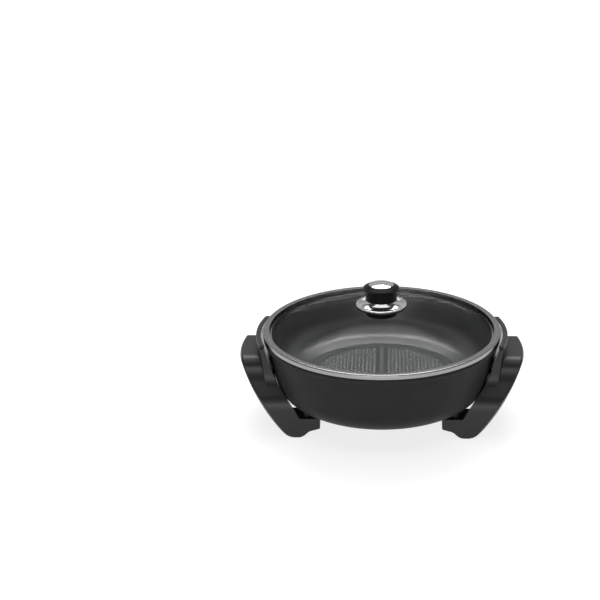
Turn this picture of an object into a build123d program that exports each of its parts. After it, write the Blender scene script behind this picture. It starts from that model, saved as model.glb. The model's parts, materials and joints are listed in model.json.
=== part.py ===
from build123d import *
import math
import os

# Round electric skillet: a coated bowl in a painted shell, carried by two moulded
# handle-legs and covered by a lift-off glass lid. Millimetres, Z up, origin on the
# table under the axis of the pan, handles along X, front towards -Y.

# Overall sizes
bowl_mouth_radius = 152.5
bowl_depth = 63.5
base_height = 32.4
heater_space = 23.5
wall_draft = 10.7

# Clearances shared by all pieces
overrun = 2.0
lid_seat_gap = 0.3
screw_gap = 0.1
contact_gap = 0.1

# Coated bowl
bowl_corner_radius = 36.0
bowl_wall = 3.0
bowl_floor = 4.5
bowl_mouth_round = 1.0
rim_bead_reach = 9.0
rim_bead_height = 7.5
rim_bead_round = 3.6
element_rib_half_width = 14.5
element_rib_height = 4.4
cover_boss_radius = 5.0

# Painted outer shell
shell_clearance = 1.4
shell_corner_radius = 40.0
shell_wall = 1.5

# Bottom cover and its screws
cover_margin = 10.0
cover_lap = 10.0
cover_thickness = 1.2
cover_step_inset = 4.0
cover_step_height = 3.0
cover_screw_count = 4
cover_screw_radius = 1.7
cover_screw_grip = 10.0
cover_screw_head_radius = 3.4
cover_screw_head_height = 1.6

# Heating element, its clips and the thermal cut-out
element_inset = 16.0
element_tube_radius = 4.0
element_bend_radius = 14.0
terminal_half_spacing = 14.0
clip_count = 3
clip_width = 10.0
clip_strap = 1.2
clip_bore_gap = 0.3
clip_foot_reach = 11.5
clip_screw_radius = 1.4
clip_screw_length = 3.2
clip_screw_head_radius = 2.6
clip_screw_head_height = 1.4
clip_screw_reach = 8.6
cutout_rib_gap = 19.5
cutout_radius = 8.0
cutout_height = 7.0
cutout_flange_margin = 7.0
cutout_flange_half_width = 5.0
cutout_flange_thickness = 1.0
cutout_terminal_radius = 1.2
cutout_terminal_length = 5.0
cutout_terminal_spacing = 6.0
cutout_screw_margin = 4.0

# Inlet for a plug-in thermostat
socket_inset = 14.0
socket_recess = 7.0
socket_half_width = 23.0
socket_wall = 2.5
surround_border = 5.0
surround_round = 4.0
window_gap = 0.2
element_end_gap = 3.0
pin_radius = 2.5
pin_shank_radius = 2.0
pin_recess = 4.0
pin_tip_round = 1.2
sleeve_radius = 4.0
sleeve_bore_radius = 3.1
sleeve_length = 70.0
sleeve_mouth_reach = 6.0
socket_screw_radius = 1.5
socket_screw_head_radius = 2.4
socket_screw_head_height = 1.8
socket_screw_length = 9.0

# Handle-legs: outer face, by reach beyond the shell's top edge
foot_lift = 0.4
foot_inset = 9.5
shoulder_reach = 21.5
shoulder_rise = 20.0
grip_reach = 36.8
grip_drop = 8.0
handle_drop = 20.5
handle_crown_rise = 1.0
handle_corner_radius = 6.5
foot_outer_round = 16.0

# Handle-legs: side outline
foot_half_span = 80.0
neck_root_half_span = 53.0
neck_half_span = 46.0
neck_height = 23.0
flare_height = 28.0
flare_low_round = 30.0
flare_high_round = 34.0
crown_round = 18.0
leg_edge_round = 3.0

# Handle-legs: inner face, by gap from the shell
arm_gap = 3.0
funnel_foot_reach = 27.8
funnel_waist_gap = 2.2
funnel_waist_drop = 58.5
funnel_top_gap = 8.7

# Handle-legs: arms, arch and hollow
arm_end_inset = 26.0
arm_depth = 14.5
arm_end_round = 3.0
wave_run = 15.0
wave_drop = 4.2
wave_round = 12.0
foot_run = 10.5
foot_inner_round = 22.0
arch_half_span = 44.0
arch_clearance = 7.5
arch_round = 22.0
leg_wall = 4.5
pocket_rise = 5.0

# Post of a handle-leg and the rim guard on it
post_wall = 5.2
post_drop = 3.0
post_half_span = 57.0
post_height = 60.0
post_taper = 6.0
post_sink = 0.3
post_flare_round = 30.0
guard_overhang = 1.2
guard_height = 5.2
guard_end_inset = 4.0
guard_round = 1.4
guard_key_half_span = 12.0
guard_key_wall = 2.0
guard_key_depth = 6.0

# Leg bosses, leg screws and foot pads
leg_screw_inset = 18.0
leg_screw_margin = 12.0
leg_boss_radius = 4.6
leg_screw_radius = 2.0
leg_screw_grip = 3.6
leg_screw_head_radius = 4.0
leg_screw_head_height = 2.6
leg_screw_bore_gap = 1.0
leg_screw_seat_depth = 8.0
pad_inset = 11.5
pad_margin = 22.0
pad_radius = 6.0
pad_depth = 3.0
pad_round = 0.4

# Lid: steel band and glass
lid_overhang = 0.5
band_height = 6.5
band_wall = 0.8
band_flange_width = 8.5
band_round = 1.6
band_foot_width = 11.5
band_skirt_depth = 4.5
glass_thickness = 4.0
glass_edge_clearance = 0.4
glass_edge_round = 1.2
glass_flat_width = 10.0
glass_dome_rise = 32.7
glass_hole_radius = 4.0

# Lid knob
skirt_radius = 34.0
skirt_edge_height = 4.0
skirt_edge_round = 1.5
skirt_height = 10.0
skirt_top_radius = 22.0
skirt_wall = 1.2
gasket_width = 6.4
gasket_thickness = 1.0
grip_neck_radius = 21.2
grip_foot_round = 2.5
grip_neck_height = 13.5
grip_flange_overhang = 3.2
grip_under_bevel = 2.4
grip_flange_edge = 1.0
grip_top_bevel = 4.0
grip_edge_round = 0.5
cap_inset = 4.2
cap_recess = 2.0
cap_edge_height = 2.2
cap_rise = 3.4
cap_gap = 0.2
insert_wall = 1.5
insert_length = 13.0
washer_radius = 21.8
washer_height = 7.0
washer_round = 1.2
washer_recess_depth = 3.6
knob_screw_radius = 2.4
knob_screw_head_radius = 5.0
knob_screw_head_height = 3.0
knob_screw_tip_margin = 1.5

# Heights that follow
draft_slope = math.tan(math.radians(wall_draft))
floor_under_z = base_height + heater_space
floor_z = floor_under_z + bowl_floor
rim_height = floor_z + bowl_depth
bead_z = rim_height - rim_bead_height
rib_z = floor_under_z - element_rib_height
element_z = rib_z - contact_gap - element_tube_radius
socket_half_height = floor_under_z - element_z - window_gap
arm_top_z = base_height - arm_gap
arm_under_z = arm_top_z - arm_depth
handle_top_z = rim_height - handle_drop
post_top_z = rim_height - post_drop
band_z = rim_height + lid_seat_gap
band_top_z = band_z + band_height
glass_edge_z = band_top_z - band_wall - contact_gap
glass_apex_z = glass_edge_z + glass_dome_rise


def bowl_radius(z):
    """Inner radius of the bowl's straight wall at a height."""
    return bowl_mouth_radius - (rim_height - z) * draft_slope


def shell_radius(z):
    """Outer radius of the shell's straight wall at a height."""
    return bowl_radius(z) + bowl_wall + shell_clearance + shell_wall


# Radii and reaches that follow
corner_run = shell_corner_radius * math.tan(math.radians((90 - wall_draft) / 2))
base_radius = shell_radius(base_height) - corner_run
shell_top_radius = shell_radius(bead_z)
cover_radius = base_radius - cover_margin
shell_mouth_radius = cover_radius - cover_lap
cover_screw_circle_radius = cover_radius - cover_lap / 2
element_ring_radius = cover_radius - element_inset
cutout_offset = element_ring_radius - element_rib_half_width - cutout_rib_gap - cutout_radius
rim_radius = bowl_mouth_radius + rim_bead_reach
lid_radius = rim_radius + lid_overhang
glass_dome_radius = lid_radius - glass_flat_width
socket_back_x = base_radius + socket_inset
socket_front_x = shell_top_radius - socket_recess
element_end_x = socket_back_x - element_end_gap
foot_outer_radius = shell_top_radius - foot_inset
shoulder_radius = shell_top_radius + shoulder_reach
shoulder_z = base_height + shoulder_rise
grip_radius = shell_top_radius + grip_reach
grip_z = handle_top_z - grip_drop
far_x = grip_radius + grip_radius
funnel_top_radius = shell_radius(post_top_z) + funnel_top_gap
arm_end_x = base_radius - arm_end_inset
wave_x = arm_end_x + wave_run
foot_inner_x = wave_x + foot_run
leg_screw_x = arm_end_x + leg_screw_inset
leg_screw_y = foot_half_span - leg_screw_margin
leg_screw_seat_z = arm_top_z - leg_screw_seat_depth
pad_x = foot_inner_x + pad_inset
pad_y = foot_half_span - pad_margin
gasket_inner_radius = skirt_radius - skirt_wall / 2 - gasket_width
grip_flange_radius = grip_neck_radius + grip_flange_overhang
cap_radius = grip_neck_radius - cap_inset
insert_radius = knob_screw_radius + screw_gap + insert_wall
cover_screw_angles = [45 + 360 * i / cover_screw_count for i in range(cover_screw_count)]
clip_angles = [90 * (i + 1) for i in range(clip_count)]


def turned(*edges):
    """Solid of revolution about Z from a closed outline of radius and height."""
    return revolve(Plane.XZ * make_face(list(edges)), Axis.Z)


def rounded(*corners):
    """Closed outline through (across, up, radius) corners."""
    points = [(across, up) for across, up, _ in corners]
    return FilletPolyline(*points, radius=[corner[2] for corner in corners], close=True)


def ring_solid(*corners):
    """Solid of revolution about Z from (radius, height, round) corners."""
    return turned(*rounded(*corners).edges())


def upright(radius, low, high):
    """Cylinder on the Z axis between two heights."""
    on_base = (Align.CENTER, Align.CENTER, Align.MIN)
    return Pos(0, 0, low) * Cylinder(radius, high - low, align=on_base)


def along_x(radius, near, far):
    """Cylinder on the X axis between two reaches."""
    turn = Rot(0, 90, 0)
    return Pos(near, 0, 0) * turn * upright(radius, 0, far - near)


def block(x0, x1, half_y, z0, z1):
    """Box that is even about Y, between two reaches and two heights."""
    corner = (Align.MIN, Align.CENTER, Align.MIN)
    return Pos(x0, 0, z0) * Box(x1 - x0, half_y + half_y, z1 - z0, align=corner)


def screw(shank_radius, length, head_radius, head_height):
    """Pan-head screw on Z: the head hangs below zero and the shank stands above."""
    return upright(head_radius, -head_height, 0) + upright(shank_radius, -overrun / 2, length)


def around(angle, radius, z, solid):
    """A solid set at an angle and radius round the Z axis."""
    return Rot(0, 0, angle) * Pos(radius, 0, z) * solid


def four_corners(x, y):
    """Places of the four feet."""
    return [(sx * x, sy * y) for sx in (1, -1) for sy in (1, -1)]


def shell_envelope(gap):
    """Solid that stands a gap outside the shell."""
    low = base_height - gap
    return ring_solid(
        (0, low, 0),
        (shell_radius(low) + gap, low, shell_corner_radius),
        (shell_top_radius + gap, bead_z, 0),
        (0, bead_z, 0),
    )


def inner_pan():
    """Coated bowl with a solid rim bead, an element rib and cover bosses below."""
    inner_low = bowl_radius(floor_z)
    outer_top = bowl_radius(bead_z) + bowl_wall
    outer_low = bowl_radius(floor_under_z) + bowl_wall
    bowl = ring_solid(
        (0, floor_z, 0),
        (inner_low, floor_z, bowl_corner_radius),
        (bowl_mouth_radius, rim_height, bowl_mouth_round),
        (rim_radius, rim_height, rim_bead_round),
        (rim_radius, bead_z, rim_bead_round),
        (outer_top, bead_z, 0),
        (outer_low, floor_under_z, bowl_corner_radius + bowl_wall),
        (0, floor_under_z, 0),
    )
    rib_top = floor_under_z + bowl_floor / 2
    rib = upright(element_ring_radius + element_rib_half_width, rib_z, rib_top)
    rib -= upright(element_ring_radius - element_rib_half_width, rib_z, rib_top)
    bowl += rib
    boss_low = base_height + shell_wall
    post = upright(cover_boss_radius, boss_low, rib_top)
    hole = upright(cover_screw_radius + screw_gap, boss_low - overrun, boss_low + cover_screw_grip)
    for angle in cover_screw_angles:
        bowl += around(angle, cover_screw_circle_radius, 0, post)
    for angle in cover_screw_angles:
        bowl -= around(angle, cover_screw_circle_radius, 0, hole)
    tap = upright(clip_screw_radius + screw_gap, rib_z - overrun, rib_z + clip_screw_length)
    for angle, offset in clip_screw_places():
        bowl -= around(angle, element_ring_radius + offset, 0, tap)
    tap = upright(clip_screw_radius + screw_gap, floor_under_z - overrun, floor_under_z + clip_screw_length)
    for side in (1, -1):
        bowl -= Pos(-cutout_offset, side * (cutout_radius + cutout_screw_margin), 0) * tap
    return bowl


def outer_shell():
    """Painted shell with a round mouth below and a window for the inlet."""
    inner_z = base_height + shell_wall
    shell = ring_solid(
        (shell_mouth_radius, base_height, 0),
        (shell_radius(base_height), base_height, shell_corner_radius),
        (shell_top_radius, bead_z, 0),
        (shell_top_radius - shell_wall, bead_z, 0),
        (shell_radius(inner_z) - shell_wall, inner_z, shell_corner_radius - shell_wall),
        (shell_mouth_radius, inner_z, 0),
    )
    hole = upright(cover_screw_radius + screw_gap, base_height - overrun, inner_z + overrun)
    for angle in cover_screw_angles:
        shell -= around(angle, cover_screw_circle_radius, 0, hole)
    shell -= block(
        socket_back_x - overrun,
        socket_front_x,
        socket_half_width + window_gap,
        element_z - socket_half_height - window_gap,
        element_z + socket_half_height + window_gap,
    )
    for side in (1, -1):
        shell -= socket_screw_line(side, socket_screw_radius + screw_gap)
    return shell


def bottom_cover():
    """Pressed cover below the shell's mouth, with a raised middle."""
    low = base_height - cover_thickness
    raised = low + cover_step_height
    step = shell_mouth_radius - cover_step_inset
    cover = ring_solid(
        (0, raised, 0),
        (step, raised, cover_thickness),
        (step + cover_thickness, low, 0),
        (cover_radius, low, 0),
        (cover_radius, base_height, 0),
        (step + cover_thickness + cover_thickness, base_height, 0),
        (step + cover_thickness, raised + cover_thickness, cover_thickness),
        (0, raised + cover_thickness, 0),
    )
    hole = upright(cover_screw_radius + screw_gap, low - overrun, base_height + overrun)
    for angle in cover_screw_angles:
        cover -= around(angle, cover_screw_circle_radius, 0, hole)
    return cover


def cover_screws():
    """Screws that tie the cover and the shell to the bowl's bosses."""
    seat = base_height - cover_thickness
    length = cover_thickness + shell_wall + cover_screw_grip - screw_gap
    one = screw(cover_screw_radius, length, cover_screw_head_radius, cover_screw_head_height)
    return [around(a, cover_screw_circle_radius, seat, one) for a in cover_screw_angles]


def heating_element():
    """Tubular element: an open ring whose two ends bend out to the inlet."""
    bend_circle = element_ring_radius + element_bend_radius
    rise = terminal_half_spacing + element_bend_radius
    opening = math.degrees(math.asin(rise / bend_circle))
    bend_x = bend_circle * math.cos(math.radians(opening))
    bend_turn = 90 - opening
    start = Line((element_end_x, terminal_half_spacing), (bend_x, terminal_half_spacing))
    first = CenterArc((bend_x, rise), element_bend_radius, 270, -bend_turn)
    ring = CenterArc((0, 0), element_ring_radius, opening, 360 - opening - opening)
    last = CenterArc((bend_x, -rise), element_bend_radius, 90 + bend_turn, -bend_turn)
    end = Line((bend_x, -terminal_half_spacing), (element_end_x, -terminal_half_spacing))
    run = [edge for piece in (start, first, ring, last, end) for edge in piece.edges()]
    path = Pos(0, 0, element_z) * Wire(run)
    section = Plane(path @ 0, z_dir=path % 0) * Circle(element_tube_radius)
    return sweep(section, path=path)


def clip_screw_places():
    """Angle and radial offset of each clip screw."""
    return [(angle, side * clip_screw_reach) for angle in clip_angles for side in (1, -1)]


def element_clips():
    """Strap clips that hold the element against the rib."""
    bore = element_tube_radius + clip_bore_gap
    saddle = bore + clip_strap
    seat = rib_z - element_z
    half_width = clip_width / 2
    across = Rot(90, 0, 0)
    strap = across * Cylinder(saddle, clip_width)
    strap += block(-clip_foot_reach, clip_foot_reach, half_width, seat - clip_strap, seat)
    strap -= across * Cylinder(bore, clip_width + overrun)
    strap -= block(-bore, bore, half_width + overrun, 0, saddle)
    strap -= block(-clip_foot_reach, clip_foot_reach, half_width + overrun, seat, saddle)
    hole = upright(clip_screw_radius + screw_gap, seat - clip_strap - overrun, seat + overrun)
    for side in (1, -1):
        strap -= Pos(side * clip_screw_reach, 0, 0) * hole
    return [around(angle, element_ring_radius, element_z, strap) for angle in clip_angles]


def clip_screws():
    """Screws of the element clips."""
    length = clip_strap + clip_screw_length - screw_gap
    seat = rib_z - clip_strap
    one = screw(clip_screw_radius, length, clip_screw_head_radius, clip_screw_head_height)
    return [around(a, element_ring_radius + out, seat, one) for a, out in clip_screw_places()]


def thermal_cutout():
    """Disc cut-out on the underside of the floor, with a mounting flange and two tabs."""
    can = upright(cutout_radius, -cutout_height, 0)
    can += block(
        -cutout_flange_half_width,
        cutout_flange_half_width,
        cutout_radius + cutout_flange_margin,
        -cutout_flange_thickness,
        0,
    )
    hole = upright(clip_screw_radius + screw_gap, -cutout_flange_thickness - overrun, overrun)
    tab_end = -cutout_height - cutout_terminal_length
    tab = upright(cutout_terminal_radius, tab_end, -cutout_height + overrun)
    for side in (1, -1):
        can -= Pos(0, side * (cutout_radius + cutout_screw_margin), 0) * hole
        can += Pos(side * cutout_terminal_spacing / 2, 0, 0) * tab
    return Pos(-cutout_offset, 0, floor_under_z) * can


def cutout_screws():
    """Two screws of the thermal cut-out."""
    length = cutout_flange_thickness + clip_screw_length - screw_gap
    one = screw(clip_screw_radius, length, clip_screw_head_radius, clip_screw_head_height)
    seat = floor_under_z - cutout_flange_thickness
    reach = cutout_radius + cutout_screw_margin
    return [Pos(-cutout_offset, side * reach, seat) * one for side in (1, -1)]


def socket_screw_line(side, radius):
    """Straight line of one inlet screw, as a round bar along X."""
    y = side * (socket_half_width + surround_border / 2)
    low = socket_front_x - socket_screw_length
    return Pos(0, y, element_z) * along_x(radius, low - overrun, socket_front_x + overrun)


def socket_housing():
    """Moulded inlet: a surround that follows the shell and a box through its window."""
    half_width = socket_half_width + surround_border
    low = element_z - socket_half_height - surround_border
    high = element_z + socket_half_height + surround_border
    surround = block(socket_back_x, socket_front_x, half_width, low, high)
    surround = fillet(surround.edges().filter_by(Axis.X), surround_round)
    surround -= shell_envelope(contact_gap)
    box_low = element_z - socket_half_height
    box_high = element_z + socket_half_height
    box = block(socket_back_x, socket_front_x, socket_half_width, box_low, box_high)
    housing = surround + box
    housing -= block(
        socket_back_x + socket_wall,
        socket_front_x + overrun,
        socket_half_width - socket_wall,
        box_low + socket_wall,
        box_high - socket_wall,
    )
    behind = socket_back_x - overrun
    back = along_x(pin_shank_radius + contact_gap, behind, socket_front_x)
    for side in (1, -1):
        housing -= Pos(0, side * terminal_half_spacing, element_z) * back
        housing -= socket_screw_line(side, socket_screw_radius + screw_gap)
    sleeve = along_x(sleeve_radius + contact_gap, behind, socket_front_x)
    return housing - Pos(0, 0, element_z) * sleeve


def terminal_pins():
    """Two contact pins on the ends of the element, with shoulders in the inlet."""
    shoulder = socket_back_x + socket_wall + contact_gap
    pin = along_x(pin_radius, shoulder, socket_front_x - pin_recess)
    pin = fillet(pin.edges().filter_by(GeomType.CIRCLE).sort_by(Axis.X)[-1], pin_tip_round)
    pin += along_x(pin_shank_radius, element_end_x, shoulder + overrun)
    return [Pos(0, side * terminal_half_spacing, element_z) * pin for side in (1, -1)]


def probe_sleeve():
    """Closed tube under the floor that takes the sensor of the thermostat."""
    mouth = socket_back_x + sleeve_mouth_reach
    tip = mouth - sleeve_length
    closed = sleeve_radius - sleeve_bore_radius
    tube = along_x(sleeve_radius, tip, mouth)
    tube -= along_x(sleeve_bore_radius, tip + closed, mouth + overrun)
    return Pos(0, 0, element_z) * tube


def socket_screws():
    """Two screws through the surround into the shell."""
    head = (socket_screw_head_radius, socket_screw_head_height)
    one = screw(socket_screw_radius, socket_screw_length, *head)
    y = socket_half_width + surround_border / 2
    turn = Rot(0, -90, 0)
    return [Pos(socket_front_x, side * y, element_z) * turn * one for side in (1, -1)]


def leg_body(inset):
    """Turned body of a leg out to its outer face, drawn in by an inset."""
    foot = (foot_outer_radius - inset, foot_lift)
    shoulder = (shoulder_radius - inset, shoulder_z)
    grip = (grip_radius - inset, grip_z)
    side = ThreePointArc(foot, shoulder, grip)
    lean = side % 1
    top = handle_top_z + handle_crown_rise - inset
    corner = (grip[0] + (top - grip_z) * lean.X / lean.Y, top)
    inner = arm_end_x / 2
    crown = FilletPolyline(grip, corner, (inner, top), radius=[handle_corner_radius - inset])
    back = Polyline((inner, top), (inner, foot_lift), foot)
    section = make_face([*side.edges(), *crown.edges(), *back.edges()])
    heel = section.vertices().group_by(Axis.Y)[0].sort_by(Axis.X)[-1]
    return revolve(Plane.XZ * fillet(heel, foot_outer_round), Axis.Z)


def bell_block(inset):
    """Side outline of a leg as a block along X: wide feet, shoulders and a round handle."""
    wide = foot_half_span - inset
    root = neck_root_half_span - inset
    neck = neck_half_span - inset
    high = handle_top_z - neck_height - inset
    low = high - flare_height
    top = handle_top_z - inset
    corners = [
        (wide, 0, 0),
        (wide, low, flare_low_round - inset),
        (root, high, flare_high_round),
        (neck, top, crown_round - inset),
    ]
    outline = rounded(*corners, *[(-y, z, r) for y, z, r in reversed(corners)])
    return extrude(Plane.YZ * make_face(outline.edges()), amount=far_x)


def front_block():
    """Front outline of the feet and arms as a block along Y."""
    roof = handle_top_z + overrun
    outline = rounded(
        (foot_inner_x, foot_lift, foot_inner_round),
        (wave_x, arm_under_z - wave_drop, wave_round),
        (arm_end_x, arm_under_z, arm_end_round),
        (arm_end_x, roof, 0),
        (far_x, roof, 0),
        (far_x, -foot_lift, 0),
    )
    return extrude(Plane.XZ * make_face(outline.edges()), amount=foot_half_span + overrun, both=True)


def arch_block():
    """Round-cornered arch between the front and rear feet as a block along X."""
    high = element_z + socket_half_height + surround_border + arch_clearance
    outline = rounded(
        (arch_half_span, -overrun, 0),
        (arch_half_span, high, arch_round),
        (-arch_half_span, high, arch_round),
        (-arch_half_span, -overrun, 0),
    )
    return extrude(Plane.YZ * make_face(outline.edges()), amount=far_x)


def funnel(shift):
    """Solid inside a leg's inner face, let out by a shift, from the arms upwards."""
    waist_z = post_top_z - funnel_waist_drop
    foot = (base_radius + funnel_foot_reach + shift, arm_top_z)
    waist = (shell_radius(waist_z) + funnel_waist_gap + shift, waist_z)
    top = (funnel_top_radius + shift, post_top_z)
    roof = rim_height + rim_bead_height
    side = ThreePointArc(foot, waist, top)
    rest = Polyline(top, (top[0], roof), (0, roof), (0, arm_top_z), foot)
    return turned(*side.edges(), *rest.edges())


def post_block():
    """Post of a leg: a tapered wall that carries the rim guard, before its inner face is cut."""
    low = post_top_z - post_height
    outer = funnel_top_radius + post_wall
    cone = ring_solid((0, low, 0), (outer - post_taper, low, 0), (outer, post_top_z, 0), (0, post_top_z, 0))
    flare = (foot_half_span - neck_root_half_span) / flare_height
    bend_z = handle_top_z - neck_height - (post_half_span - neck_root_half_span) / flare - post_sink
    corners = [
        (post_half_span + bend_z * flare, 0, 0),
        (post_half_span, bend_z, post_flare_round),
        (post_half_span, rim_height, 0),
    ]
    outline = rounded(*corners, *[(-y, z, r) for y, z, r in reversed(corners)])
    return cone & extrude(Plane.YZ * make_face(outline.edges()), amount=far_x)


def handle_leg():
    """Right handle-leg: hollow moulding with two feet, two arms, a handle and a post."""
    leg = leg_body(0) & bell_block(0)
    seams = (GeomType.LINE, GeomType.CIRCLE)
    outer = [e for e in leg.edges() if e.center().X > arm_end_x and e.geom_type not in seams]
    leg = fillet(outer, leg_edge_round)
    leg &= front_block()
    leg -= funnel(0)
    pocket = leg_body(leg_wall) & bell_block(leg_wall)
    pocket &= block(0, far_x, foot_half_span, arm_top_z + pocket_rise, handle_top_z)
    pocket -= funnel(leg_wall)
    leg = leg - pocket + (post_block() - funnel(0))
    leg -= arch_block()
    leg -= guard_key(contact_gap)
    hole = upright(leg_screw_radius + screw_gap, 0, arm_top_z + overrun)
    head = upright(leg_screw_head_radius + leg_screw_bore_gap, 0, leg_screw_seat_z)
    seat = upright(pad_radius + contact_gap, 0, foot_lift + pad_depth)
    for side in (1, -1):
        leg -= Pos(leg_screw_x, side * leg_screw_y, 0) * hole
        leg -= Pos(leg_screw_x, side * leg_screw_y, 0) * head
        leg -= Pos(pad_x, side * pad_y, 0) * seat
    return leg


def guard_key(gap):
    """Key under a rim guard that drops into the top of the post."""
    middle = funnel_top_radius + post_wall / 2
    half = guard_key_wall / 2 + gap
    low = post_top_z - guard_key_depth - gap
    high = post_top_z + gap
    ring = upright(middle + half, low, high) - upright(middle - half, low, high)
    return ring & block(0, far_x, guard_key_half_span + gap, low, high)


def rim_guard():
    """Right rim guard: curved strip on the post, level with the lid's edge."""
    high = post_top_z + guard_height
    strip = upright(funnel_top_radius + post_wall, post_top_z, high)
    strip -= upright(funnel_top_radius - guard_overhang, post_top_z, high)
    strip &= block(0, far_x, post_half_span - guard_end_inset, post_top_z, high)
    strip = fillet(strip.edges().group_by(Axis.Z)[-1], guard_round)
    return strip + guard_key(0)


def leg_bosses():
    """Bosses on the shell that stand on the arms of the legs."""
    outside = shell_envelope(0)
    bosses = []
    for x, y in four_corners(leg_screw_x, leg_screw_y):
        boss = upright(leg_boss_radius, arm_top_z, base_height + shell_corner_radius / 2)
        boss -= upright(leg_screw_radius + screw_gap, 0, arm_top_z + leg_screw_grip)
        bosses.append(Pos(x, y, 0) * boss - outside)
    return bosses


def leg_screws():
    """Screws up through the arms into the bosses."""
    length = arm_top_z - leg_screw_seat_z + leg_screw_grip - screw_gap
    one = screw(leg_screw_radius, length, leg_screw_head_radius, leg_screw_head_height)
    return [Pos(x, y, leg_screw_seat_z) * one for x, y in four_corners(leg_screw_x, leg_screw_y)]


def foot_pads():
    """Rubber pads let into the feet."""
    pad = upright(pad_radius, 0, foot_lift + pad_depth)
    pad = fillet(pad.edges().sort_by(Axis.Z)[0], pad_round)
    return [Pos(x, y, 0) * pad for x, y in four_corners(pad_x, pad_y)]


def lid_band():
    """Steel band folded round the glass, with a skirt that drops inside the rim."""
    inner = lid_radius - band_wall
    flange = lid_radius - band_flange_width
    foot = lid_radius - band_foot_width
    return ring_solid(
        (lid_radius, band_z, band_wall / 2),
        (lid_radius, band_top_z, band_round),
        (flange, band_top_z, 0),
        (flange, band_top_z - band_wall, 0),
        (inner, band_top_z - band_wall, band_round - band_wall),
        (inner, band_z + band_wall, 0),
        (foot, band_z + band_wall, 0),
        (foot, band_z - band_skirt_depth, 0),
        (foot + band_wall, band_z - band_skirt_depth, 0),
        (foot + band_wall, band_z, 0),
    )


def dome_z(radius):
    """Height of the glass's upper face at a radius."""
    sphere = (glass_dome_radius ** 2 + glass_dome_rise ** 2) / (2 * glass_dome_rise)
    return glass_apex_z - sphere + math.sqrt(sphere ** 2 - radius ** 2)


def lid_glass():
    """Domed glass disc with a flat edge and a hole for the knob screw."""
    edge = lid_radius - band_wall - glass_edge_clearance
    middle = (glass_hole_radius + glass_dome_radius) / 2
    top = ThreePointArc(
        (glass_hole_radius, dome_z(glass_hole_radius)),
        (middle, dome_z(middle)),
        (glass_dome_radius, glass_edge_z),
    )
    under = ThreePointArc(
        (glass_hole_radius, dome_z(glass_hole_radius) - glass_thickness),
        (middle, dome_z(middle) - glass_thickness),
        (glass_dome_radius, glass_edge_z - glass_thickness),
    )
    rim = FilletPolyline(
        (glass_dome_radius, glass_edge_z),
        (edge, glass_edge_z),
        (edge, glass_edge_z - glass_thickness),
        (glass_dome_radius, glass_edge_z - glass_thickness),
        radius=glass_edge_round,
    )
    hole = Line(under @ 0, top @ 0)
    return turned(*top.edges(), *rim.edges(), *under.edges(), *hole.edges())


skirt_z = dome_z(gasket_inner_radius) + gasket_thickness
skirt_top_z = skirt_z + skirt_height
grip_flange_z = skirt_top_z + grip_neck_height
grip_top_z = grip_flange_z + grip_under_bevel + grip_flange_edge + grip_top_bevel
cap_z = grip_top_z - cap_recess
washer_top_z = dome_z(washer_radius) - glass_thickness - contact_gap
insert_top_z = skirt_top_z + insert_length


def knob_gasket():
    """Ring between the chrome skirt and the glass."""
    low = dome_z(gasket_inner_radius)
    outer = skirt_radius - skirt_wall / 2
    return upright(outer, low, skirt_z) - upright(gasket_inner_radius, low, skirt_z)


def knob_skirt():
    """Chrome skirt below the knob: a shallow hollow cone with an upright edge."""
    edge_z = skirt_z + skirt_edge_height
    under_z = skirt_top_z - skirt_wall
    hole = knob_screw_radius + screw_gap
    return ring_solid(
        (skirt_radius, skirt_z, 0),
        (skirt_radius, edge_z, skirt_edge_round),
        (skirt_top_radius, skirt_top_z, skirt_edge_round),
        (hole, skirt_top_z, 0),
        (hole, under_z, 0),
        (skirt_top_radius - skirt_wall / 2, under_z, 0),
        (skirt_radius - skirt_wall, edge_z - skirt_wall / 2, 0),
        (skirt_radius - skirt_wall, skirt_z, 0),
    )


def knob_grip():
    """Moulded knob: a round neck under a bevelled flange, with a recess for the cap."""
    edge_z = grip_flange_z + grip_under_bevel
    recess = cap_radius + cap_gap
    grip = ring_solid(
        (0, skirt_top_z, 0),
        (grip_neck_radius, skirt_top_z, grip_foot_round),
        (grip_neck_radius, grip_flange_z, grip_edge_round),
        (grip_flange_radius, edge_z, grip_edge_round),
        (grip_flange_radius, edge_z + grip_flange_edge, grip_edge_round),
        (recess + grip_edge_round, grip_top_z, 0),
        (recess, grip_top_z, 0),
        (recess, cap_z, 0),
        (0, cap_z, 0),
    )
    return grip - upright(insert_radius + contact_gap, skirt_top_z - overrun, insert_top_z)


def knob_cap():
    """Chrome cap with a shallow dome, let into the knob."""
    edge_z = cap_z + cap_edge_height
    sphere = (cap_radius ** 2 + cap_rise ** 2) / (2 * cap_rise)
    middle = cap_radius / 2
    rise = math.sqrt(sphere ** 2 - middle ** 2) - sphere + cap_rise
    dome = ThreePointArc((cap_radius, edge_z), (middle, edge_z + rise), (0, edge_z + cap_rise))
    rest = Polyline((0, edge_z + cap_rise), (0, cap_z), (cap_radius, cap_z), (cap_radius, edge_z))
    return turned(*dome.edges(), *rest.edges())


def knob_insert():
    """Threaded bush moulded into the knob."""
    bush = upright(insert_radius, skirt_top_z, insert_top_z - contact_gap)
    return bush - upright(knob_screw_radius + screw_gap, skirt_top_z - overrun, insert_top_z + overrun)


def knob_washer():
    """Thick washer under the glass, recessed for the screw head."""
    low = washer_top_z - washer_height
    washer = ring_solid(
        (0, low, 0),
        (washer_radius, low, washer_round),
        (washer_radius, washer_top_z, 0),
        (0, washer_top_z, 0),
    )
    washer -= upright(knob_screw_radius + screw_gap, low - overrun, washer_top_z + overrun)
    return washer - upright(knob_screw_head_radius + screw_gap, low - overrun, low + washer_recess_depth)


def knob_screw():
    """Screw from under the lid up into the bush."""
    seat = washer_top_z - washer_height + washer_recess_depth
    length = insert_top_z - knob_screw_tip_margin - seat
    one = screw(knob_screw_radius, length, knob_screw_head_radius, knob_screw_head_height)
    return Pos(0, 0, seat) * one


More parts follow.
